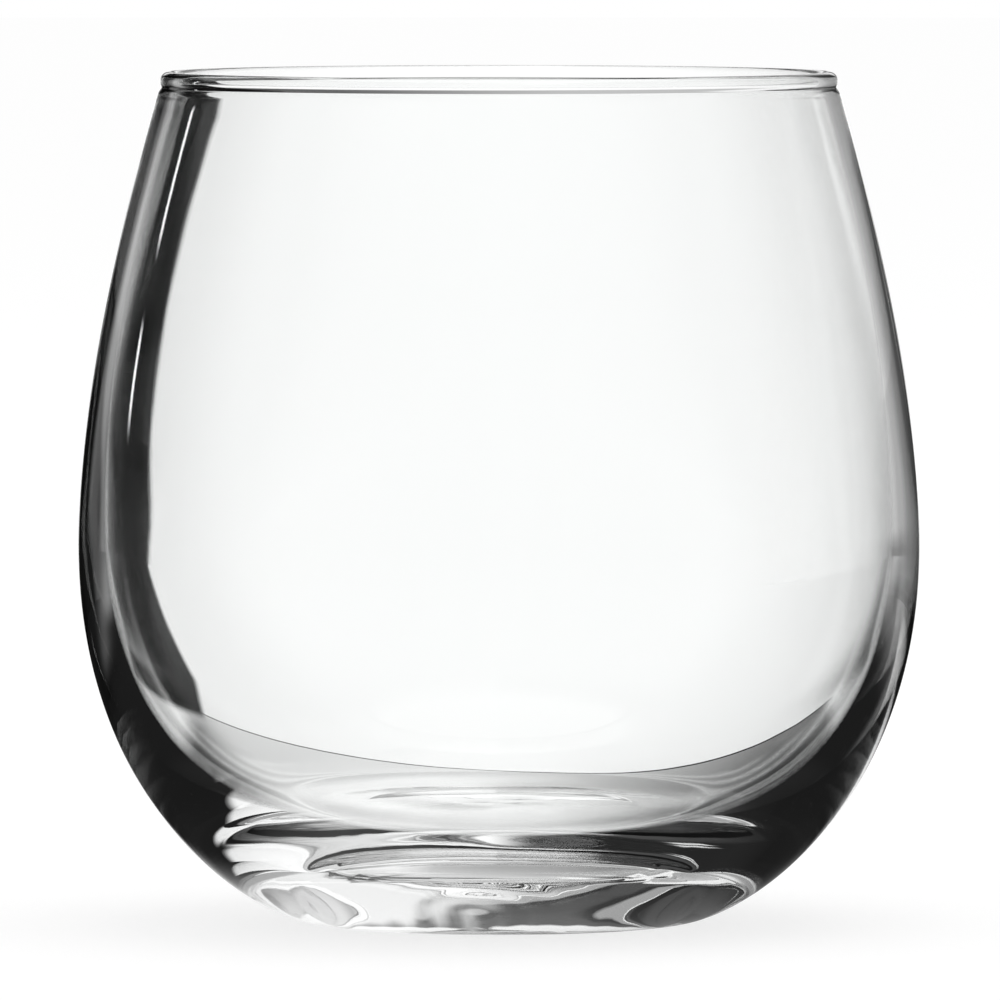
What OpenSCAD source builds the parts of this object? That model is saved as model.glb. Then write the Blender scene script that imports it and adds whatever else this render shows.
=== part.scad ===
// A stemless wine glass: one blown shell of clear glass, turned about its own axis.
// The bowl swells from a small foot to a wide belly and draws in to a fire-polished rim.
// The origin is the middle of the foot, on the table. Z points up.

/* [Outside of the bowl] */
// Height from the table to the top of the rim
height = 91; // [84:0.5:100]
// Largest outside diameter of the bowl
belly_d = 90.1; // [84:0.1:98]
// Height of the largest diameter above the table
belly_h = 40.5; // [36:0.5:46]
// How far the side runs straight down below the belly before it curls in
side_reach = 29.4; // [20:0.1:34]
// How far the side runs straight up above the belly before it leans in
shoulder_reach = 18.2; // [10:0.1:26]

/* [Rim] */
// Outside diameter of the rim
rim_d = 72.6; // [66:0.1:80]
// Thickness of the rounded bead that the flame leaves on the rim
bead_d = 2; // [1.8:0.05:2.4]

/* [Wall] */
// Thickness of the wall where it meets the bead
rim_wall = 1.7; // [1.2:0.05:1.75]
// Thickness of the wall at the belly
belly_wall = 2.8; // [1.6:0.05:4]
// How much higher the cavity is widest than the outside
cavity_rise = 1.7; // [0:0.1:5]
// How far the cavity's side runs straight up from there before it leans in
cavity_shoulder_reach = 21.5; // [10:0.1:26]
// How far the cavity's side runs straight down before it curls in
cavity_side_reach = 23.5; // [16:0.1:26]
// How far the cavity's corner runs on from the dished floor before it curls up
cavity_corner_reach = 6.5; // [3:0.1:9]
// Diameter of the dished floor of the cavity
dish_d = 45; // [38:0.5:50]
// How much higher the dished floor is at its edge than in the middle
dish_rise = 1.1; // [0.4:0.05:2]
// Thickness of the glass between the middle of the cavity's floor and the punt
floor_glass = 6.8; // [5:0.1:9]

/* [Foot] */
// Outside diameter of the ring that the glass stands on
foot_d = 40; // [34:0.1:44]
// Width of the flat land on that ring
land_w = 3.5; // [2:0.1:5]
// How far the heel runs level beside the foot before it curls up
heel_reach = 5.2; // [2:0.1:10]
// Height of the shallow hollow under the foot
punt_h = 1.2; // [0.5:0.1:2.5]

/* [Hidden] */

// Straight pieces that each curve of the outline is cut into
steps = 24;
// Straight pieces that the dished floor is cut into
dish_steps = 10;
// Smoothness of the turned surfaces
$fn = 180;

belly_r = belly_d / 2;
foot_r = foot_d / 2;
bead_r = bead_d / 2;
// The bead's section is a circle, and its centre also ends the wall
bead_centre_r = rim_d / 2 - bead_r;
bead_centre_h = height - bead_r;
// The cavity's widest place and its floor
cavity_r = belly_r - belly_wall;
cavity_h = belly_h + cavity_rise;
floor_h = punt_h + floor_glass;
// The dish is a shallow curve, and the corner leaves its edge in the direction that the dish has there
dish_r = dish_d / 2;
dish_edge_h = floor_h + dish_rise;
dish_slope = [dish_r / 2, dish_rise] / norm([dish_r / 2, dish_rise]);
// The punt is a cap of a sphere
punt_r = foot_r - land_w;
punt_sphere_r = (punt_r * punt_r + punt_h * punt_h) / (2 * punt_h);
punt_angle = asin(punt_r / punt_sphere_r);

// Point at share t of a curve that leaves a towards b and meets c coming from b
function curve2(a, b, c, t) = (1 - t) * (1 - t) * a + 2 * t * (1 - t) * b + t * t * c;

// Point at share t of a curve that leaves a towards b and meets d coming from c
function curve3(a, b, c, d, t) =
    (1 - t) * curve2(a, b, c, t) + t * curve2(b, c, d, t);

// Outside of the glass, from the edge of the foot up to the belly
function outside_low() = [
    for (i = [0 : steps])
        curve3([foot_r, 0], [foot_r + heel_reach, 0],
               [belly_r, belly_h - side_reach], [belly_r, belly_h], i / steps)
];

// Outside of the glass, from above the belly up to the bead
function outside_high() = [
    for (i = [1 : steps])
        curve2([belly_r, belly_h], [belly_r, belly_h + shoulder_reach],
               [bead_centre_r + rim_wall / 2, bead_centre_h], i / steps)
];

// Cavity, from the bead down to its widest place
function cavity_high() = [
    for (i = [0 : steps])
        curve2([bead_centre_r - rim_wall / 2, bead_centre_h], [cavity_r, cavity_h + cavity_shoulder_reach],
               [cavity_r, cavity_h], i / steps)
];

// Cavity, from below its widest place down round the corner to the edge of the dished floor
function cavity_low() = [
    for (i = [1 : steps])
        curve3([cavity_r, cavity_h], [cavity_r, cavity_h - cavity_side_reach],
               [dish_r, dish_edge_h] + cavity_corner_reach * dish_slope, [dish_r, dish_edge_h], i / steps)
];

// Dished floor, from its edge in to the middle
function dish() = [
    for (i = [1 : dish_steps])
        curve2([dish_r, dish_edge_h], [dish_r / 2, floor_h], [0, floor_h], i / dish_steps)
];

// Punt under the foot, from its middle out to the land
function punt() = [
    for (i = [0 : steps])
        [punt_sphere_r * sin(punt_angle * i / steps),
         punt_h - punt_sphere_r * (1 - cos(punt_angle * i / steps))]
];

// The shell of glass from the foot to the rim
module shell() {
    rotate_extrude()
        polygon(concat(outside_low(), outside_high(), cavity_high(), cavity_low(), dish(), punt()));
}

// The rounded bead round the mouth
module rim_bead() {
    rotate_extrude()
        translate([bead_centre_r, bead_centre_h]) circle(r = bead_r);
}

module glass_body() {
    color([0.86, 0.9, 0.89, 0.35])
        union() {
            shell();
            rim_bead();
        }
}

glass_body();
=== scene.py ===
# %% [markdown]
# # A stemless wine glass
#
# The real glass is one piece of clear soda-lime glass. A gather is blown into a turning mould, the top is
# cracked off, and a flame melts the cut edge into a smooth bead. Nothing is joined to it afterwards.
# So this lesson makes one closed surface, gives it a clear glass finish, and spends the rest of its effort
# on the surroundings, because clear glass shows nothing but what stands around it.
#
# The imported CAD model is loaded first. It fixes where the glass stands and how large it is.

# %% Load the frame
import math

import bpy
import numpy as np
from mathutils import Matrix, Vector


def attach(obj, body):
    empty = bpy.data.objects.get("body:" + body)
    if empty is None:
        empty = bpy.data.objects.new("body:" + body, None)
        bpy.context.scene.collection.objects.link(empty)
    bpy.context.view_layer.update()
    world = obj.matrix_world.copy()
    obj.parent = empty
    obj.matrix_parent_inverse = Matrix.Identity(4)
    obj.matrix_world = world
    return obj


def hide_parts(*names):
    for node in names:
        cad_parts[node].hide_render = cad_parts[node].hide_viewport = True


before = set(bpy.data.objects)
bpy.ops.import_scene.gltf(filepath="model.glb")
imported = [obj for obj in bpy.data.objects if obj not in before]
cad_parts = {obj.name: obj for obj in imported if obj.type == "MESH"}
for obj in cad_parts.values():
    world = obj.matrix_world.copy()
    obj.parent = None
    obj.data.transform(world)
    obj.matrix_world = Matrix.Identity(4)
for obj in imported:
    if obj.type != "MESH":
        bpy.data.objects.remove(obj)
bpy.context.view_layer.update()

# %% [markdown]
# ## The section of the glass
#
# A blown glass is round, so its whole form is one section turned about the upright axis. The section could
# be drawn as a bezier curve by hand, but here it is worked out from the sizes that a maker would give the
# mould and the gather, so each part of it can be changed by itself. All sizes are in millimetres.

# %% Sizes of the glass
MM = 0.001
height = 91.0
belly_r, belly_h = 45.05, 40.5
side_reach, shoulder_reach = 29.4, 18.2
rim_r, bead_r = 36.3, 1.0
rim_wall, belly_wall = 1.7, 2.8
cavity_rise, cavity_shoulder_reach = 1.7, 21.5
cavity_side_reach, cavity_corner_reach = 23.5, 6.5
dish_r, dish_rise = 22.5, 1.1
floor_glass = 6.8
foot_r, land_w, heel_reach, punt_h = 20.0, 3.5, 5.2, 1.2

cavity_r, cavity_h = belly_r - belly_wall, belly_h + cavity_rise
floor_h = punt_h + floor_glass
punt_r = foot_r - land_w
bead_centre = np.array([rim_r - bead_r, height - bead_r])
print("wall", belly_wall, "mm at the belly, floor", floor_glass, "mm thick")


# %% Curves that a section is made of
def bow2(a, b, c, count):
    """Points of a curve that leaves a towards b and reaches c from b: (1-t)^2 a + 2t(1-t) b + t^2 c."""
    t = np.linspace(0, 1, count)[:, None]
    a, b, c = np.array(a, float), np.array(b, float), np.array(c, float)
    return (1 - t) ** 2 * a + 2 * t * (1 - t) * b + t * t * c


def bow3(a, b, c, d, count):
    """Points of a curve that leaves a towards b and reaches d from c, the cubic with weights 1, 3, 3, 1."""
    t = np.linspace(0, 1, count)[:, None]
    a, b, c, d = (np.array(p, float) for p in (a, b, c, d))
    return (1 - t) ** 3 * a + 3 * t * (1 - t) ** 2 * b + 3 * t * t * (1 - t) * c + t ** 3 * d


# %% [markdown]
# ## Outside, cavity and foot
#
# The mould gives the outside: a small foot, a side that swells to the belly and a shoulder that leans in
# to the mouth. The breath gives the cavity: it follows the outside at a wall of under 3 mm, then leaves it
# low down, where the glass is thick, and ends in a dished floor. Under the foot a shallow punt keeps the
# glass standing on a ring.

# %% The pieces of the section
outside_low = bow3([foot_r, 0], [foot_r + heel_reach, 0],
                   [belly_r, belly_h - side_reach], [belly_r, belly_h], 64)
outside_high = bow2([belly_r, belly_h], [belly_r, belly_h + shoulder_reach],
                    bead_centre + [rim_wall / 2, 0], 44)
cavity_high = bow2(bead_centre - [rim_wall / 2, 0], [cavity_r, cavity_h + cavity_shoulder_reach],
                   [cavity_r, cavity_h], 44)
dish_edge = np.array([dish_r, floor_h + dish_rise])
dish_slope = np.array([dish_r / 2, dish_rise]) / math.hypot(dish_r / 2, dish_rise)
cavity_low = bow3([cavity_r, cavity_h], [cavity_r, cavity_h - cavity_side_reach],
                  dish_edge + cavity_corner_reach * dish_slope, dish_edge, 56)
dish = bow2(dish_edge, [dish_r / 2, floor_h], [0, floor_h], 30)


def cap_of_sphere(radius, rise, count):
    """Section of a shallow hollow: a circle's arc that stands rise high in the middle and is 0 at radius."""
    sphere = (radius ** 2 + rise ** 2) / (2 * rise)
    turn = np.linspace(0, math.asin(radius / sphere), count)
    return np.stack([sphere * np.sin(turn), rise - sphere * (1 - np.cos(turn))], 1)


punt = cap_of_sphere(punt_r, punt_h, 30)
land = np.stack([np.linspace(punt_r, foot_r, 6)[1:-1], np.zeros(4)], 1)
pieces = (punt, land, outside_low, outside_high, cavity_high, cavity_low, dish)
print("points in the section's pieces:", [len(piece) for piece in pieces])

# %% [markdown]
# ## The fire-polished rim
#
# The flame that melts the cut edge draws it into a bead a little fatter than the wall. The bead could be a
# separate ring, but the real one has no seam, so the wall runs into it through a short hollow neck.


# %% Wall, neck and bead as one line
clear_of_bead = 1.9
wall_pull, bead_pull = 0.5, 0.35


def neck(wall, side, lean):
    """A cubic from the last wall point clear of the bead, along the wall, to the bead, along its circle.
    lean is the angle below level at which the bead is reached. side is 1 for the outer wall and -1 for the
    inner one. Returns the wall that is kept and the neck."""
    away = np.linalg.norm(wall - bead_centre, axis=1)
    kept = wall[away > clear_of_bead * bead_r]
    start, last = kept[-1], kept[-1] - kept[-2]
    onward = last / np.linalg.norm(last)
    meet = bead_centre + bead_r * np.array([side * math.cos(lean), -math.sin(lean)])
    along = np.array([side * math.sin(lean), math.cos(lean)])
    return kept, bow3(start, start + wall_pull * onward, meet - bead_pull * along, meet, 7)[1:-1]


lean = math.radians(28)
outer_wall, outer_neck = neck(outside_high, 1, lean)
inner_wall, inner_neck = neck(cavity_high[::-1], -1, lean)
turn = np.linspace(-lean, math.pi + lean, 22)
bead = bead_centre + bead_r * np.stack([np.cos(turn), np.sin(turn)], 1)
section = np.vstack([punt[1:], land, outside_low, outer_wall[1:], outer_neck, bead,
                     inner_neck[::-1], inner_wall[::-1][:-1], cavity_low, dish[1:-1]])
print("points in the section:", len(section), "top of the bead:", round(float(section[:, 1].max()), 3), "mm")

# %% [markdown]
# ## What blowing leaves behind
#
# A mould-blown glass is never quite round inside. The wall waves by a few hundredths of a millimetre, the
# floor lies a little out of level, and the foot keeps rings from the way the hot glass met the mould's
# bottom. These are small, but they bend light, and they are what makes a render look like glass and not
# like a lens. They could be a texture, but the light has to bend through them, so they are in the mesh.


# %% Waves of the wall, floor and punt
def waves(angle, along, counts, runs, sizes, seed):
    """Sum of cosines round the glass: size * cos(count * angle + run * along + phase), with the phases drawn
    from one seed."""
    phases = np.random.default_rng(seed).uniform(0, 2 * np.pi, len(counts))
    total = np.zeros(np.broadcast(angle, along).shape)
    for count, run, size, phase in zip(counts, runs, sizes, phases):
        total += size * np.cos(count * angle + run * along + phase)
    return total


def smooth_step(x, low, high):
    """0 below low, 1 above high, and the curve 3t^2 - 2t^3 between them."""
    t = np.clip((x - low) / (high - low), 0, 1)
    return t * t * (3 - 2 * t)


def fading(x, low, high):
    """1 below low, 0 above high, and the smooth step turned over between them."""
    return 1 - smooth_step(x, low, high)


around = 320
angle = np.linspace(0, 2 * np.pi, around, endpoint=False)[None, :]
radius, level = section[:, :1], section[:, 1:]
step = np.gradient(section, axis=0)
step /= np.linalg.norm(step, axis=1)[:, None]
outward_r, outward_z = step[:, 1:], -step[:, :1]
number = np.arange(len(section))[:, None]
first_bead = len(punt) - 1 + len(land) + len(outside_low) + len(outer_wall) - 1 + len(outer_neck)
inside = number >= first_bead + len(bead)
under = number < len(punt) - 1

wall_wave = waves(angle, level / 14, (2, 3, 5, 1), (1.0, -0.7, 0.5, 1.6), (0.03, 0.02, 0.008, 0.02), 4)
floor_wave = waves(angle, radius / 4, (1, 2, 3), (0.6, 1.1, -0.8), (0.05, 0.025, 0.008), 9)
low = fading(level, 10, 24)
cavity_wave = wall_wave * fading(level, 80, 87) * (1 - low) + floor_wave * low * smooth_step(radius, 0, 6)

ring_size = 0.008
off_centre = np.hypot(radius * np.cos(angle) + 1.5, radius * np.sin(angle) - 0.8)
fine_rings = np.cos(off_centre * 2.4 + 0.5 * np.cos(angle))
coarse_rings = 0.7 * np.cos(off_centre * 1.3 + 1.0 * np.cos(angle + 0.6))
ring_wave = ring_size * (fine_rings + coarse_rings) * smooth_step(radius, 0.3, 2)
ring_wave = ring_wave * (1 - 0.6 * smooth_step(radius, 8, 13))
bent_wave = waves(angle, radius / 5, (1, 2), (0.8, -1.0), (0.015, 0.006), 2) * smooth_step(radius, 0, 5)
punt_wave = (ring_wave + bent_wave) * fading(radius, punt_r - 1.6, punt_r - 0.2)
offset = np.where(inside, cavity_wave, 0.0) + np.where(under, punt_wave, 0.0)
print("largest wave:", round(float(np.abs(offset).max()), 3), "mm")


# %% Turn the section into the glass
def turned(section, offset, angle):
    """Point (i, j): section point i pushed offset(i, j) along its outward normal, then turned by angle j:
    x = r cos, y = r sin, z = height."""
    r = section[:, :1] + offset * outward_r
    z = section[:, 1:] + offset * outward_z
    return np.stack([r * np.cos(angle), r * np.sin(angle), z + 0 * angle], -1)


def closed_mesh(name, grid, bottom, top):
    """Mesh of a grid that runs round the axis, closed at both ends by a fan to a point on the axis."""
    rows, columns, _ = grid.shape
    at = np.arange(rows * columns).reshape(rows, columns)
    beside = np.roll(at, -1, axis=1)
    quads = np.stack([at[:-1], beside[:-1], beside[1:], at[1:]], -1).reshape(-1, 4)
    below, above = rows * columns, rows * columns + 1
    floor_fan = np.stack([np.full(columns, below), beside[0], at[0]], -1)
    roof_fan = np.stack([np.full(columns, above), at[-1], beside[-1]], -1)
    points = np.vstack([grid.reshape(-1, 3), [[0, 0, bottom]], [[0, 0, top]]]) * MM
    mesh = bpy.data.meshes.new(name)
    mesh.from_pydata(points.tolist(), [], quads.tolist() + floor_fan.tolist() + roof_fan.tolist())
    mesh.polygons.foreach_set("use_smooth", np.ones(len(mesh.polygons), bool))
    mesh.update()
    return mesh


glass_mesh = closed_mesh("blown_glass", turned(section, offset, angle), punt_h, floor_h)
blown_glass = bpy.data.objects.new("blown_glass", glass_mesh)
bpy.context.scene.collection.objects.link(blown_glass)
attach(blown_glass, "root")
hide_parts("glass_body")
triangles = sum(len(p.vertices) - 2 for p in glass_mesh.polygons)
print("blown_glass:", len(glass_mesh.vertices), "points,", triangles, "triangles")

# %% [markdown]
# ## The clear glass finish
#
# Soda-lime glass bends light by 1.52 and is clear, with a faint grey-green cast. Looked at closely it is
# not the same all over: cords of slightly different glass run through it, fingers leave smudges, and the
# ring that it stands on is scuffed by the table. One flat colour would look like plastic, and a picture of
# scratches would be far too strong, so faint noise on the object's own coordinates varies the tint, the
# roughness and the height of the surface. They sit in one group with named inputs, so that a new glass and
# an old one differ only in two numbers. The glass itself stays plain: index, transmission, nothing else.


# %% A group for marks and wear
def new_group(name, inputs, outputs):
    """An empty shader node group with named inputs and outputs, and its two end nodes."""
    tree = bpy.data.node_groups.new(name, "ShaderNodeTree")
    for label, kind in inputs:
        tree.interface.new_socket(label, in_out="INPUT", socket_type=kind)
    for label, kind in outputs:
        tree.interface.new_socket(label, in_out="OUTPUT", socket_type=kind)
    return tree, tree.nodes.new("NodeGroupInput"), tree.nodes.new("NodeGroupOutput")


def noise(tree, place, scale, detail):
    """A noise texture at that many bumps per metre, its place read from the given socket."""
    node = tree.nodes.new("ShaderNodeTexNoise")
    node.inputs["Scale"].default_value, node.inputs["Detail"].default_value = scale, detail
    tree.links.new(place, node.inputs["Vector"])
    return node.outputs["Fac"]


def ramp(tree, value, low, high, at_low, at_high):
    """A smooth change of value from at_low to at_high while it runs from low to high."""
    node = tree.nodes.new("ShaderNodeMapRange")
    node.interpolation_type = "SMOOTHSTEP"
    for label, number in zip(("From Min", "From Max", "To Min", "To Max"), (low, high, at_low, at_high)):
        node.inputs[label].default_value = number
    tree.links.new(value, node.inputs["Value"])
    return node.outputs["Result"]


def combine(tree, operation, first, second):
    """Two sockets joined by one operation of a Math node."""
    node = tree.nodes.new("ShaderNodeMath")
    node.operation = operation
    tree.links.new(first, node.inputs[0])
    tree.links.new(second, node.inputs[1])
    return node.outputs[0]


marks, marks_in, marks_out = new_group(
    "marks_and_wear", [("Smudge Roughness", "NodeSocketFloat"), ("Foot Roughness", "NodeSocketFloat")],
    [("Tint", "NodeSocketColor"), ("Roughness", "NodeSocketFloat"), ("Height", "NodeSocketFloat")])
place = marks.nodes.new("ShaderNodeTexCoord").outputs["Object"]
upward = marks.nodes.new("ShaderNodeSeparateXYZ")
marks.links.new(place, upward.inputs[0])
smudges = ramp(marks, noise(marks, place, 55, 4), 0.58, 0.8, 0, 1)
smudges = combine(marks, "MULTIPLY", smudges, marks_in.outputs["Smudge Roughness"])
foot_ring = ramp(marks, upward.outputs["Z"], 0.02 * MM, 0.15 * MM, 1, 0)
scuffs = ramp(marks, noise(marks, place, 1400, 3), 0.35, 0.7, 0.2, 1)
scuffs = combine(marks, "MULTIPLY", foot_ring, scuffs)
scuffs = combine(marks, "MULTIPLY", scuffs, marks_in.outputs["Foot Roughness"])
marks.links.new(combine(marks, "MAXIMUM", smudges, scuffs), marks_out.inputs["Roughness"])
stretched = marks.nodes.new("ShaderNodeMapping")
stretched.inputs["Scale"].default_value = (1, 1, 0.3)
marks.links.new(place, stretched.inputs["Vector"])
cords = noise(marks, stretched.outputs[0], 90, 2)
cast = marks.nodes.new("ShaderNodeMix")
cast.data_type = "RGBA"
cast.inputs["A"].default_value = (0.987, 0.992, 0.989, 1)
cast.inputs["B"].default_value = (0.980, 0.987, 0.984, 1)
marks.links.new(cords, cast.inputs["Factor"])
marks.links.new(cast.outputs["Result"], marks_out.inputs["Tint"])
marks.links.new(cords, marks_out.inputs["Height"])
print("marks_and_wear:", len(marks.nodes), "nodes")

# %% The clear glass itself
clear_glass = bpy.data.materials.new("clear_glass")
clear_glass.use_nodes = True
tree = clear_glass.node_tree
glass = tree.nodes["Principled BSDF"]
glass.inputs["IOR"].default_value = 1.52
glass.inputs["Transmission Weight"].default_value = 1.0
wear = tree.nodes.new("ShaderNodeGroup")
wear.node_tree = marks
wear.inputs["Smudge Roughness"].default_value = 0.012
wear.inputs["Foot Roughness"].default_value = 0.08
ripple = tree.nodes.new("ShaderNodeBump")
ripple.inputs["Strength"].default_value = 1.0
ripple.inputs["Distance"].default_value = 0.008 * MM
tree.links.new(wear.outputs["Tint"], glass.inputs["Base Color"])
tree.links.new(wear.outputs["Roughness"], glass.inputs["Roughness"])
tree.links.new(wear.outputs["Height"], ripple.inputs["Height"])
tree.links.new(ripple.outputs["Normal"], glass.inputs["Normal"])
glass_mesh.materials.append(clear_glass)
print("clear_glass: index", round(glass.inputs["IOR"].default_value, 2))

# %% [markdown]
# ## The table and the room
#
# Clear glass is photographed against a bright sheet, with dark cards beside it that draw its edges. The
# sheet and the table are white to the camera and through the glass. The cards stay out of the picture and
# show only where the glass bends the view out to them. The sheet and the table could be lit by many lamps,
# but a world and a table that know which rays look at them are white without more light on the glass.


# %% White room
def rays_of(tree, *kinds):
    """1 for rays of any of these kinds, else 0."""
    path = tree.nodes.new("ShaderNodeLightPath")
    either = path.outputs[kinds[0]]
    for kind in kinds[1:]:
        either = combine(tree, "MAXIMUM", either, path.outputs[kind])
    return either


def blended(tree, share, first, second):
    """Shader that is first where share is 0 and second where it is 1."""
    mix = tree.nodes.new("ShaderNodeMixShader")
    if isinstance(share, float):
        mix.inputs[0].default_value = share
    else:
        tree.links.new(share, mix.inputs[0])
    tree.links.new(first.outputs[0], mix.inputs[1])
    tree.links.new(second.outputs[0], mix.inputs[2])
    return mix


def shader(tree, kind, grey=1.0, strength=None):
    """A shader node of that kind in a grey of that level, with its strength where it has one."""
    node = tree.nodes.new("ShaderNode" + kind)
    node.inputs["Color"].default_value = (grey, grey, grey, 1)
    if strength is not None:
        node.inputs["Strength"].default_value = strength
    return node


through_glass = 1.10
room = bpy.data.worlds.new("white_room")
room.use_nodes = True
bpy.context.scene.world = room
tree = room.node_tree
tree.nodes.clear()
lit, white, bright = [shader(tree, "Background", 1.0, level) for level in (0.8, 1.0, through_glass)]
seen = blended(tree, rays_of(tree, "Is Camera Ray"), lit, white)
seen = blended(tree, rays_of(tree, "Is Glossy Ray", "Is Transmission Ray"), seen, bright)
tree.links.new(seen.outputs[0], tree.nodes.new("ShaderNodeOutputWorld").inputs[0])
print("white room: 1 to the camera and", through_glass, "through the glass")


# %% White table
def disc(name, radius, level, count=96):
    """A flat disc at that level: points radius * (cos, sin) at even angles, as one face."""
    turn = np.linspace(0, 2 * np.pi, count, endpoint=False)
    points = np.stack([radius * np.cos(turn), radius * np.sin(turn), level + 0 * turn], 1)
    mesh = bpy.data.meshes.new(name)
    mesh.from_pydata(points.tolist(), [], [list(range(count))])
    made = bpy.data.objects.new(name, mesh)
    bpy.context.scene.collection.objects.link(made)
    return made


table_r, table_below = 6.0, 0.3 * MM
table = disc("table", table_r, -table_below)
white_table = bpy.data.materials.new("white_table")
white_table.use_nodes = True
tree = white_table.node_tree
tree.nodes.clear()
paint, glow = shader(tree, "BsdfDiffuse", 0.9), shader(tree, "Emission", 1.0, 1.1)
bright = shader(tree, "Emission", 1.0, through_glass)
seen = blended(tree, rays_of(tree, "Is Camera Ray"), paint, blended(tree, 0.7, paint, glow))
seen = blended(tree, rays_of(tree, "Is Glossy Ray", "Is Transmission Ray"), seen, bright)
tree.links.new(seen.outputs[0], tree.nodes.new("ShaderNodeOutputMaterial").inputs[0])
table.data.materials.append(white_table)
print("table:", 2 * table_r, "m across")

# %% Soft lamp above
lamp = bpy.data.lights.new("soft_lamp", "AREA")
lamp.shape, lamp.size, lamp.energy = "DISK", 1.2, 6
soft_lamp = bpy.data.objects.new("soft_lamp", lamp)
lamp_aside, lamp_behind, lamp_up = 0.2, 0.1, 1.6
soft_lamp.location = (lamp_aside, lamp_behind, lamp_up)
soft_lamp.rotation_euler = (0, math.atan2(lamp_aside, lamp_up), 0)
soft_lamp.visible_glossy = soft_lamp.visible_transmission = False
bpy.context.scene.collection.objects.link(soft_lamp)
print("soft_lamp:", lamp.size, "m across,", lamp.energy, "W")

# %% [markdown]
# ## Cards that the glass bends into view
#
# In the photograph the middle of the glass is white, its edges are almost black, and the thick base shows
# bands of both. None of that is on the glass. Black and grey cards stand round it just out of the picture,
# and the glass bends or mirrors the view out to them. They could be lit boards, but a sheet that glows in
# the card's own tone is exact and costs the render little. A sheet is a grid of points with two numbers on
# each: tone, how bright it is, and cover, how much it hides what lies behind it.
#
# Light reaches the camera by several routes. Straight through the wall it is mirrored nowhere, along the
# edge of the wall once or twice, and in the base anything from once to many times. Each sheet says how often
# a ray may have been mirrored to meet it, which Light Path counts. So the edge, the base and the clear middle
# can be lit one by one. They are lit for the view from the front, and from other sides some cards show in
# the bowl.

# %% Glowing sheets
def band(x, start, full, fade, end):
    """0 below start, 1 from full to fade and 0 above end, with smooth steps between."""
    return smooth_step(x, start, full) * fading(x, fade, end)


def within(tree, share, count, limits):
    """share for rays whose count on Light Path lies within the limits, and 0 for others."""
    path, counted = tree.nodes.new("ShaderNodeLightPath"), tree.nodes.new("ShaderNodeMath")
    counted.operation = "COMPARE"
    counted.inputs[1].default_value = (limits[0] + limits[1]) / 2
    counted.inputs[2].default_value = (limits[1] - limits[0]) / 2 + 0.25
    tree.links.new(path.outputs[count], counted.inputs[0])
    return combine(tree, "MULTIPLY", counted.outputs[0], share)


def sheet_glow(name, mirrored, bent):
    """A material that glows as strongly as the attribute tone and hides as much as the attribute cover."""
    material = bpy.data.materials.new(name)
    material.use_nodes = True
    tree = material.node_tree
    tree.nodes.clear()
    tone, cover = tree.nodes.new("ShaderNodeAttribute"), tree.nodes.new("ShaderNodeAttribute")
    tone.attribute_name, cover.attribute_name = "tone", "cover"
    glow, clear = shader(tree, "Emission"), shader(tree, "BsdfTransparent")
    tree.links.new(tone.outputs["Fac"], glow.inputs["Strength"])
    share = cover.outputs["Fac"]
    for limits, count in ((mirrored, "Glossy Depth"), (bent, "Transmission Depth")):
        if limits:
            share = within(tree, share, count, limits)
    both = blended(tree, share, clear, glow)
    tree.links.new(both.outputs[0], tree.nodes.new("ShaderNodeOutputMaterial").inputs[0])
    return material


def sheet(name, points, tone, cover, mirrored=None, bent=None):
    """A glowing sheet on a grid of points. tone and cover are numbers on the same grid: how bright it is,
    and how much it hides what lies behind it. mirrored is the least and the most times that a ray may have
    been reflected to meet it, bent the same for rays bent into or out of the glass, and None is any."""
    rows, columns, _ = points.shape
    at = np.arange(rows * columns).reshape(rows, columns)
    quads = np.stack([at[:-1, :-1], at[:-1, 1:], at[1:, 1:], at[1:, :-1]], -1).reshape(-1, 4)
    mesh = bpy.data.meshes.new(name)
    mesh.from_pydata(points.reshape(-1, 3).tolist(), [], quads.tolist())
    for label, values in (("tone", tone), ("cover", cover)):
        layer = mesh.attributes.new(label, "FLOAT", "POINT")
        layer.data.foreach_set("value", np.broadcast_to(values, (rows, columns)).astype(np.float32).ravel())
    mesh.materials.append(sheet_glow(name, mirrored, bent))
    made = bpy.data.objects.new(name, mesh)
    bpy.context.scene.collection.objects.link(made)
    made.visible_camera = made.visible_diffuse = made.visible_shadow = False
    print(name + ":", rows, "x", columns, "points")
    return made


# %% Sheets that stand and sheets that lie
near = 0.35
stands_at = {"high": 1.05 * near, "room": 1.03 * near, "front": 1.02 * near, "seen_through": 1.001 * near,
             "side": near, "dark_above": 0.995 * near, "edge": 0.99 * near, "striped": 0.987 * near,
             "dim": 0.985 * near, "foot": 0.975 * near, "round": 0.97 * near, "ribbon": 0.96 * near}
lies_below_foot = {"grey_strip": 0.06, "once_mirrored": 0.10, "dark": 0.14, "strips": 0.18, "mat": 0.22,
                   "mat_seen_through": 0.24}
never, once, twice, any_number = 0, 1, 2, 99


def heights_at(*runs):
    """A column of heights in metres, made of runs of them."""
    return np.concatenate(runs)[:, None]


def bearings_over(first, last, count):
    """A row of bearings in degrees: 0 is straight behind the glass, and positive ones are to the right."""
    return np.linspace(first, last, count)[None, :]


def upright(name, bearing, z, radius, tone, cover, mirrored=None, bent=None):
    """A bent card that stands round the glass: x = R sin(bearing), y = R cos(bearing)."""
    turned_by = np.radians(bearing)
    grid = np.stack(np.broadcast_arrays(radius * np.sin(turned_by), radius * np.cos(turned_by), z), -1)
    return sheet(name, grid, tone, cover, mirrored, bent)


def lying(name, x, y, below, tone, cover, mirrored=None):
    """A card that lies level a little below the foot: grids of x to the right and y behind the glass, in
    millimetres, and how far below the foot it lies."""
    grid = np.stack(np.broadcast_arrays(x, y, -below), -1) * MM
    return sheet(name, grid, tone, cover, mirrored)


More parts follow.
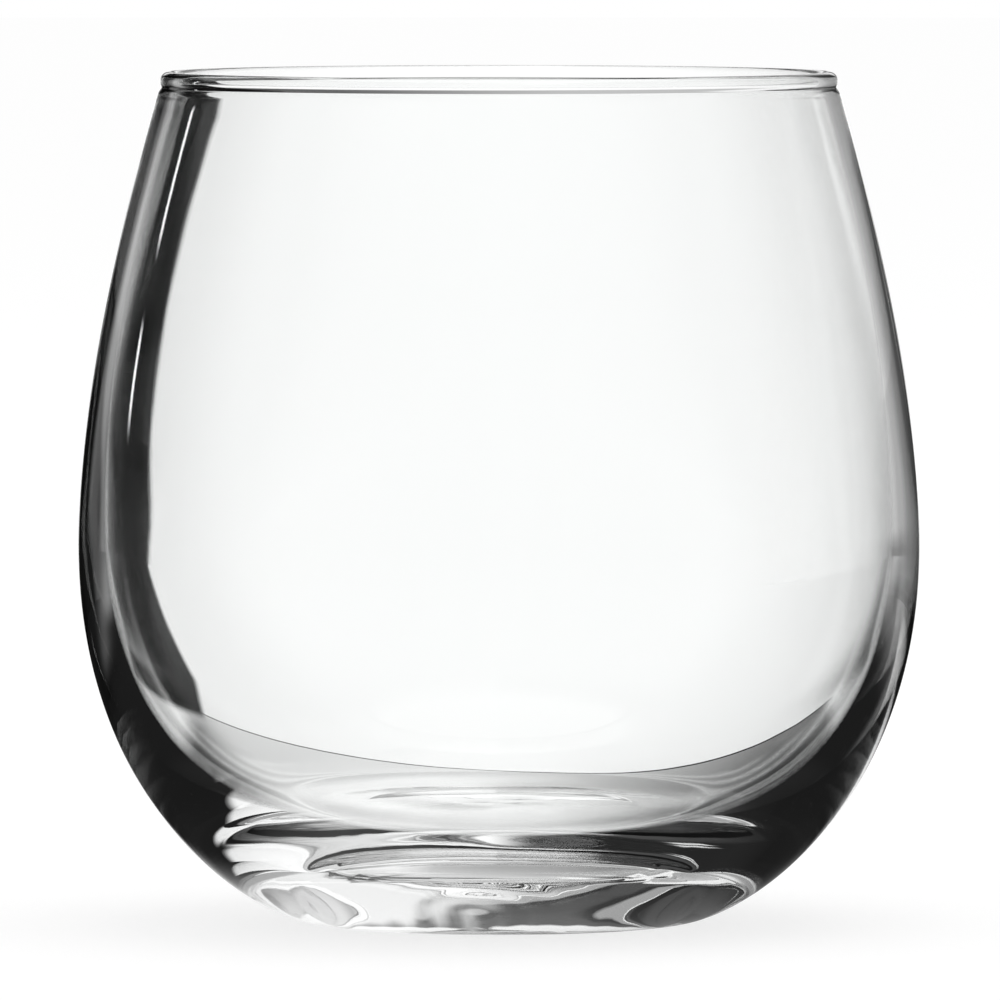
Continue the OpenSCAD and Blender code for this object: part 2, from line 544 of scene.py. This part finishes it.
# %% [markdown]
# ## The black card on the left
#
# The left card draws the black band. Its inner edge leans, because the band is as wide at the rim as at the
# belly though the wall curves away. A dim window in it becomes the grey streak that runs down the band, and
# the window shifts outward near the table, where the wall is thicker. The card could be one sheet, but it is
# made twice: one for mirrored light, and a narrower one that is seen straight through the wall.

# %% Card on the left
z = heights_at([-0.00025], np.linspace(0, 0.1, 21), [0.13, 0.15, 0.3, 0.34])
bearing = bearings_over(-66, -9, 229)
card_top = (0.3, 0.34)
black, streak_light, more_light_above = 0.006, 0.28, 0.24
inner_edge = np.interp(z, [0, 0.012, 0.025, 0.042, 0.066, 0.085], [15.2, 14.3, 13.4, 12.4, 11.3, 10.3])
edge_blur = 0.3
shift = 6 * fading(z, 0.012, 0.04)
window = band(-bearing, 31 + shift, 36 + shift, 41 + shift, 47 + shift) * fading(z, 0.12, 0.15)
left_tone = black + (streak_light + more_light_above * smooth_step(z, 0.03, 0.1)) * window
left_cover = band(-bearing, inner_edge - edge_blur, inner_edge + edge_blur, 60, 66) * fading(z, *card_top)
upright("card_left", bearing, z, stands_at["side"], left_tone, left_cover, mirrored=(once, any_number))
seen_from_front = (28, 32)
left_cover_seen = left_cover * fading(-bearing, *seen_from_front)
upright("card_left_seen_through", bearing, z, stands_at["seen_through"], left_tone, left_cover_seen,
        mirrored=(never, never))

# %% [markdown]
# ## The pale card on the right
#
# On the right the photograph has no black band, only a soft shade. So this card is a little darker than the
# backdrop at its outer side and a little brighter at its inner side, and both change smoothly. It is made
# twice as the left one is.

# %% Card on the right
bearing = bearings_over(8, 48, 97)
right_tone = np.interp(bearing, [8, 20, 26, 32, 40, 48], [1.15, 1.18, 1.0, 0.85, 0.7, 0.9])
right_cover = band(bearing, 8, 12, 44, 48) * fading(z, *card_top)
upright("card_right", bearing, z, stands_at["side"], right_tone, right_cover, mirrored=(once, any_number))
right_cover_seen = right_cover * fading(bearing, *seen_from_front)
upright("card_right_seen_through", bearing, z, stands_at["seen_through"], right_tone, right_cover_seen,
        mirrored=(never, never))

# %% [markdown]
# ## The room in front
#
# The outside of the glass mirrors the room beside and behind the camera. In a white room the edges would be
# pale, so a dark room stands there and keeps them black, and a soft pale front lifts the middle.

# %% Dark room and soft front
z = heights_at([-0.01, 0, 0.1, 0.3, 0.4, 0.6])
bearing = bearings_over(62, 348, 190)
room_tone, grey_behind_camera, pale_front = 0.01, 0.35, 0.45
room_cover = band(bearing, 62, 70, 344, 347) * fading(z, 0.4, 0.6)
dark_room_tone = room_tone + grey_behind_camera * band(bearing, 130, 165, 195, 230)
upright("dark_room", bearing, z, stands_at["room"], dark_room_tone, room_cover, mirrored=(once, 4))
soft_front_tone = room_tone + pale_front * band(bearing, 78, 112, 250, 276)
upright("soft_front", bearing, z, stands_at["front"], soft_front_tone, room_cover, mirrored=(once, once))

# %% [markdown]
# ## The edge card and the bright ribbon
#
# The edge card lies behind the glass for light that is mirrored once or twice in the wall. It grades the
# right-hand edge from grey to black, and close to the table it is darker, as the edge is low down. A thin
# bright ribbon on the left gives the two white lines in the black band. It is bent to a curve, because the
# lines follow the shoulder.

# %% Edge card
z = heights_at([-0.01, 0.004, 0.008, 0.012, 0.02, 0.03, 0.05, 0.1, 0.2, 0.3, 0.4])
bearing = bearings_over(-18, 68, 173)
edge_tone = np.interp(bearing, [-18, 18, 24, 30, 36, 41, 46, 54, 68],
                      [0.01, 0.06, 0.09, 0.17, 0.33, 0.62, 0.6, 0.25, 0.03])
darker_low_down = fading(z, 0.004, 0.012) * (0.95 - 0.3 * smooth_step(bearing, 34, 40))
clear_behind = smooth_step(z, 0.009, 0.03) * fading(bearing, 12, 18)
edge_cover = (1 - clear_behind) * fading(z, 0.3, 0.4) * fading(bearing, 62, 68)
upright("edge_card", bearing, z, stands_at["edge"], edge_tone * (1 - darker_low_down), edge_cover,
        mirrored=(once, twice))

# %% Bright ribbon
z = heights_at(np.linspace(0.06, 0.18, 40))
across = np.linspace(0, 1, 7)[None, :]
ribbon_light, ribbon_width = 9.0, 2.0
ribbon_middle = 58.2 + 1.8 * ((z - 0.125) / 0.05) ** 2
bearing = -(ribbon_middle + ribbon_width * (0.5 - across))
two_lines = band(z, 0.07, 0.085, 0.10, 0.107) + band(z, 0.122, 0.13, 0.155, 0.168)
ribbon_cover = np.clip(two_lines, 0, 1) * np.sin(np.pi * across)
upright("bright_ribbon", bearing, z, stands_at["ribbon"], ribbon_light, ribbon_cover,
        mirrored=(once, once), bent=(never, never))

# %% [markdown]
# ## Above the backdrop
#
# The rounded rim sees over the top of the white backdrop, where the studio is dark on the left and grey on
# the right. Without it the rim would be lost against the white, as it is in a glass tent.

# %% Cards above
z = heights_at([0.15, 0.17, 0.3, 0.6, 0.8])
bearing = bearings_over(-180, 180, 181)
high_tone = 0.1 + 0.45 * smooth_step(bearing, -6, 3) + 0.1 * smooth_step(np.abs(bearing), 90, 140)
upright("above_backdrop", bearing, z, stands_at["high"], high_tone, band(z, 0.15, 0.17, 0.6, 0.8))
bearing = bearings_over(-40, 30, 71)
above_tone = 0.05
upright("dark_above", bearing, z, stands_at["dark_above"], above_tone, band(z, 0.17, 0.3, 0.6, 0.8),
        mirrored=(once, once))

# %% [markdown]
# ## Deep in the base
#
# The base mirrors light between its floor and its foot. What it shows is a strip of the room behind it,
# drawn out sideways. Light mirrored once shows curls, so its card is striped from top to bottom, and light
# mirrored twice meets an even grey. Light mirrored three or four times shows a dark and a bright half. Light
# that runs round inside the heel more often shows a ring of patches. One card could match only one of these.

# %% Cards for light that the base mirrors once or twice
z = heights_at(np.linspace(0.02, 0.15, 40))
bearing = bearings_over(-18, 18, 41)
stripe_height, lowest_light = 0.05, 0.02
curl_tone = np.maximum(0.8 + 0.6 * np.cos(2 * np.pi * (z - 0.035) / stripe_height), lowest_light)
curl_cover = band(z, 0.02, 0.03, 0.13, 0.15) * fading(np.abs(bearing), 12, 18)
upright("striped_behind", bearing, z, stands_at["striped"], curl_tone, curl_cover, mirrored=(once, once))

z = heights_at([0.01, 0.02, 0.03, 0.09, 0.13])
bearing = bearings_over(-12, 12, 33)
dim_tone = 0.4
dim_cover = band(z, 0.01, 0.02, 0.09, 0.13) * fading(np.abs(bearing), 9, 12)
upright("dim_behind_two", bearing, z, stands_at["dim"], dim_tone, dim_cover, mirrored=(twice, twice))

# %% Card for light that the foot mirrors three or four times
z = heights_at([-0.01, 0.012, 0.016, 0.019, 0.023, 0.027, 0.03, 0.033, 0.036, 0.045, 0.08, 0.12])
bearing = bearings_over(-40, 40, 161)
lit_side = smooth_step(bearing, -0.3, 3)
dark_side = 0.06 * fading(z, 0.018, 0.024) + 0.4 * smooth_step(z, 0.03, 0.036)
foot_tone = 0.03 + 0.9 * lit_side + (1 - lit_side) * dark_side
foot_cover = fading(z, 0.08, 0.12) * fading(np.abs(bearing), 34, 40)
upright("behind_foot", bearing, z, stands_at["foot"], foot_tone, foot_cover, mirrored=(3, 4))

# %% Card for light that is mirrored five times or more
z = heights_at([-0.01, 0.1, 0.2, 0.27, 0.29, 0.34, 0.36], np.linspace(0.4, 1.2, 9))
bearing = bearings_over(-180, 180, 241)
open_right = band(bearing, -8, 4, 66, 72) * fading(z, 0.36, 0.44)
patch = band(-bearing, 43, 46, 55, 58) * band(z, 0.27, 0.3, 0.34, 0.37)
sides = 0.75 * smooth_step(bearing, 30, 60) + 0.06 * smooth_step(-bearing, 40, 60)
round_tone = 0.01 + 1.1 * np.maximum(open_right, patch) + sides * smooth_step(z, 0.44, 0.6)
upright("round_card", bearing, z, stands_at["round"], round_tone, fading(z, 1.1, 1.2),
        mirrored=(5, any_number))

# %% [markdown]
# ## Black strips on the table
#
# Below the belly the glass looks down at the table. A white strip runs away behind the glass, and the table
# on both sides of it is black. The cards lie a fraction of a millimetre below the foot, because a card that
# touched the glass would stop it from mirroring there. Those that are seen straight through the glass are
# no larger than the view from the front needs, so that they show as little as they can from other sides.


# %% Lines that bound the white strip
def left_line(y):
    """Left edge of the white strip on the table: two straight lines that open away from the glass."""
    return -np.maximum(35.5 + 0.12 * y, 26.6 + 0.195 * y)


def right_line(y):
    """Middle of the soft right edge of the white strip, which opens faster: a straight line."""
    return 20 + 0.5 * y


def off_middle(x, y):
    """Degrees that a place on the table is off the line straight behind the glass: arctan of x over y."""
    return np.degrees(np.arctan2(x, np.maximum(y, 1)))


def within_view(x, y):
    """1 where the strips can be seen straight through the glass from the front, 0 further out: the limit is
    29 degrees off the middle far away and opens to 43 degrees, 113 mm from the glass."""
    limit = 29 + 14 * np.exp((113 - np.hypot(x, y)) / 45)
    return fading(np.abs(off_middle(x, y)), limit, limit + 3)


def bell(x, middle, width):
    """A smooth bump of 1 at the middle: exp(-((x - middle) / width)^2)."""
    return np.exp(-((x - middle) / width) ** 2)


print("white strip, mm, 100 behind the glass:", float(left_line(100)), "to", float(right_line(100)))

# %% Black strips beside the white one
y = np.linspace(60, 345, 96)[:, None]
across = np.linspace(0, 1, 60)[None, :]
half_soft = (1.2 + 0.006 * y) / 2
x = left_line(y) + half_soft - (90 + 0.3 * y) * across ** 2
strip_cover = smooth_step(left_line(y) - x, -half_soft, half_soft) * fading(across ** 2, 0.8, 1)
strip_cover = strip_cover * smooth_step(y, 64, 76) * within_view(x, y)
light_ray = 0.4 * bell(off_middle(x, y), -36, 5) * smooth_step(y, 95, 120)
lying("strip_left", x, y, lies_below_foot["strips"], 0.008 + light_ray, strip_cover, mirrored=(never, never))

x = right_line(y) - 16 - 0.1 * y + (46 + 0.22 * y) * across
strip_tone = 0.05 + 0.06 * smooth_step(y, 60, 110) + 0.7 * smooth_step(y, 190, 345)
strip_cover = band(across, 0, 0.55, 0.75, 1) * smooth_step(y, 64, 110) * within_view(x, y)
lying("strip_right", x, y, lies_below_foot["strips"], strip_tone, strip_cover, mirrored=(never, never))

# %% [markdown]
# ## The table that the wall mirrors
#
# The edges of the bowl mirror the table far to both sides. Left plain it would make them white, so it is
# black but for the white strip, with a grey streak on each side that carries on what the upright cards
# show. Light mirrored once has its own card, because its streaks would be in the way of the base.

# %% Black table for light that is mirrored
turned_by = np.radians(np.linspace(0, 360, 181))[None, :]
reach = np.concatenate([np.linspace(44, 60, 9), np.linspace(66, 365, 52)])[:, None]
x, y = reach * np.sin(turned_by), reach * np.cos(turned_by)
table_black = 0.012
right_of_left_line = smooth_step(x, left_line(y) - 4, left_line(y) + 2)
left_of_right_line = fading(x, right_line(y), right_line(y) + 12)
white_strip = right_of_left_line * left_of_right_line * smooth_step(y, 20, 45)
white_strip = white_strip * (1 - 0.6 * smooth_step(reach, 120, 200))
dark_cover = smooth_step(reach, 44, 52) * (1 - white_strip)
front_grey = 0.3 * smooth_step(-y, 30, 120) * fading(np.abs(x), 60, 160)
lying("dark_table", x, y, lies_below_foot["dark"], table_black + front_grey, dark_cover,
      mirrored=(twice, any_number))

side_on = np.degrees(np.arctan2(x, y))
right_streak = 0.4 * bell(side_on, 60 - 0.055 * reach, 5) * smooth_step(reach, 110, 260)
right_grey = 0.05 * band(side_on, 24, 34, 60, 80) * smooth_step(reach, 100, 220)
left_streak = 0.28 * bell(side_on, -46.5, 5.5) * smooth_step(reach, 150, 205)
front_light = 0.5 * smooth_step(-y, 20, 90)
once_tone = table_black + right_streak + right_grey + left_streak + front_light
once_cover = np.maximum(smooth_step(y, 140, 180), dark_cover) * fading(reach, 361, 365)
lying("once_mirrored_table", x, y, lies_below_foot["once_mirrored"], once_tone, once_cover,
      mirrored=(once, once))

# %% Grey strip that the heel mirrors many times
x, y = np.linspace(-30, 30, 61)[None, :], np.linspace(24, 110, 44)[:, None]
grey = 0.42 + 0.6 * bell(x, -9, 6) * bell(y, 38, 9)
grey *= 1 - 0.9 * smooth_step(x, 26, 30) * fading(y, 50, 60)
lying("grey_strip", x, y, lies_below_foot["grey_strip"], grey, band(y, 24, 32, 90, 110),
      mirrored=(5, any_number))

# %% [markdown]
# ## The grey mat
#
# Close to the foot a grey mat ends in a thin dark line, which the glass shows as the line that crosses the
# picture just above the base. The line could be drawn on the floor of the cavity, but then it would be a mark
# on the glass and show from every side.


# %% Grey mat and its dark line
def back_edge(x):
    """Where the grey mat ends behind the glass: two arms of a hyperbola that meet 33 mm behind the middle."""
    return 33 + np.where(x > 10, 1.55, 1.1) * (np.hypot(x - 10, 20) - 20)


x = np.linspace(-70, 110, 181)[None, :]
rows_at_edge = [-1.6, -1.2, -0.9, -0.6, -0.3, 0]
past_edge = np.concatenate([np.linspace(-60, -10, 11), np.linspace(-8, -2, 7), rows_at_edge])[:, None]
edge = back_edge(x)
y = np.where(past_edge < -2, edge + past_edge * (edge + 50) / 60, edge + past_edge)
opening = 0.25 * np.maximum(y, 0)
pale = 0.86 * smooth_step(x, -36 - opening, -22 - opening) * fading(x, -2, 34 + 2 * opening)
line_black, line_width = 0.02, np.where(x > 0, 1.5, 1.0)
back_tone = line_black + np.maximum(pale, 0.25 * smooth_step(y, 25, 50))
front_tone = np.interp(x, [-38, -24, -11, -7, 0, 8, 12], [0.04, 1, 1, 0.5, 0.35, 0.28, 0.1])
forward = fading(y, -17, -12)
mat_tone = back_tone * (1 - forward) + front_tone * forward
mat_tone = np.where(past_edge > -line_width, line_black, mat_tone)
mat_cover = smooth_step(y, -50, -35) * band(x, -70, -60, 100, 110) * (past_edge < -0.1)
lying("grey_mat", x, y, lies_below_foot["mat"], mat_tone, mat_cover, mirrored=(once, any_number))
mat_cover_seen = mat_cover * smooth_step(y, -16, -9) * band(x, -50, -43, 50, 58)
lying("grey_mat_seen_through", x, y, lies_below_foot["mat_seen_through"], mat_tone, mat_cover_seen,
      mirrored=(never, never))

# %% [markdown]
# ## The camera
#
# The photograph was taken from a little above the rim with a long lens. The slopes of sight at the rim and
# at the foot give the distance, and the width of the belly gives the scale.

# %% Camera
frame_pixels, belly_pixels = 1000, 841
axis_column, foot_row = 499, 921
mm_per_pixel = 2 * belly_r / belly_pixels
slope_at_rim, slope_at_foot = 0.02, 0.08
distance = height / (slope_at_foot - slope_at_rim)
eye = Vector((0, -distance, height + slope_at_rim * distance)) * MM
middle = Vector((0, 0, (foot_row - frame_pixels / 2) * mm_per_pixel)) * MM
camera = bpy.data.cameras.new("camera")
camera.sensor_width = 36
camera.lens = camera.sensor_width * (eye - middle).length / (frame_pixels * mm_per_pixel * MM)
camera.shift_x = (frame_pixels / 2 - axis_column) / frame_pixels
camera.clip_end = 100
camera_object = bpy.data.objects.new("camera", camera)
camera_object.location = eye
camera_object.rotation_euler = (middle - eye).to_track_quat("-Z", "Y").to_euler()
bpy.context.scene.collection.objects.link(camera_object)
bpy.context.scene.camera = camera_object
print("camera", round(distance), "mm away, lens", round(camera.lens), "mm")

# %% View settings and light paths
scene = bpy.context.scene
scene.view_settings.view_transform = "Standard"
bounces = 24
scene.cycles.max_bounces = scene.cycles.transmission_bounces = bounces
scene.cycles.glossy_bounces = scene.cycles.transparent_max_bounces = bounces
print("light is followed for", bounces, "bounces")
